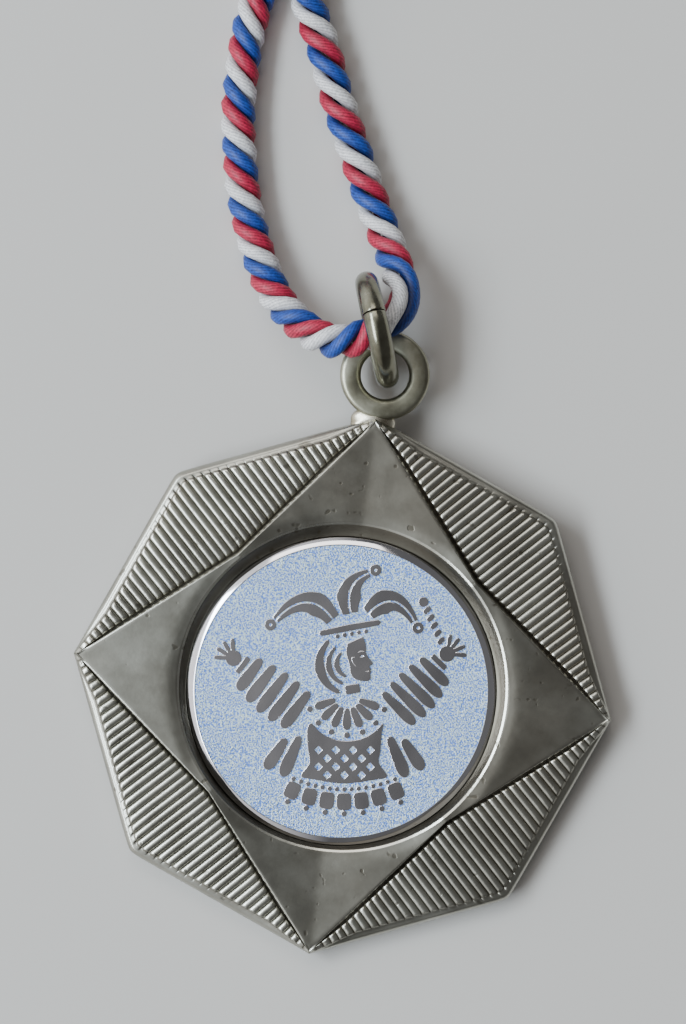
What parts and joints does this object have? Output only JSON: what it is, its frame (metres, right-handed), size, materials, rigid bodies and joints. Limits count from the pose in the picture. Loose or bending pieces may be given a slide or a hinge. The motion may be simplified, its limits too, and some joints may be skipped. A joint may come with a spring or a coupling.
{
  "type": "medal on a neck cord",
  "caption": "Octagonal brass medal with a star, fluted fields and a round etched centre disc, on a split ring and a twisted neck cord.",
  "frame": {"origin": "on the surface that the medal lies on, under the middle of the box of the medal and its ring", "axes": "+Z out of the medal's face, +Y from the medal towards its eye and the neck cord"},
  "size_m": [0.0625, 0.1301, 0.01],
  "materials": {
    "antique_brass": "antiqued satin, dark in the hollows",
    "solder": "bright, slightly rough solder",
    "adhesive_foam": "white foam pad",
    "etched_aluminium": "frosted ground, mirror-polished figure and rim",
    "ring_brass": "worn smooth brass wire",
    "cord_fabric": "three twisted satin strands: red, royal blue and white",
    "ferrule_brass": "bright crimped sheet"
  },
  "bodies": {
    "neck_cord": {"neck_cord_run": "cord_fabric", "neck_cord_coil": "cord_fabric", "end_ferrule": "ferrule_brass"},
    "ring": {"jump_ring": "ring_brass"},
    "medal": {"medal_plate": "antique_brass", "suspension_eye": "antique_brass", "solder_fillet": "solder", "adhesive_pad": "adhesive_foam", "insert_disc": "etched_aluminium"}
  },
  "joints": [
    {"name": "ring_on_cord", "type": "hinge", "parent": "neck_cord", "child": "ring", "pos_m": [-0.0008, 0.02315, 0.0059], "axis": [-0.9426, -0.3338, 0], "range_deg": [0, 40]},
    {"name": "medal_on_ring", "type": "hinge", "parent": "ring", "child": "medal", "pos_m": [-0.0005, 0.02245, 0.0033], "axis": [-0.9426, -0.3338, 0], "range_deg": [0, 18]}
  ]
}
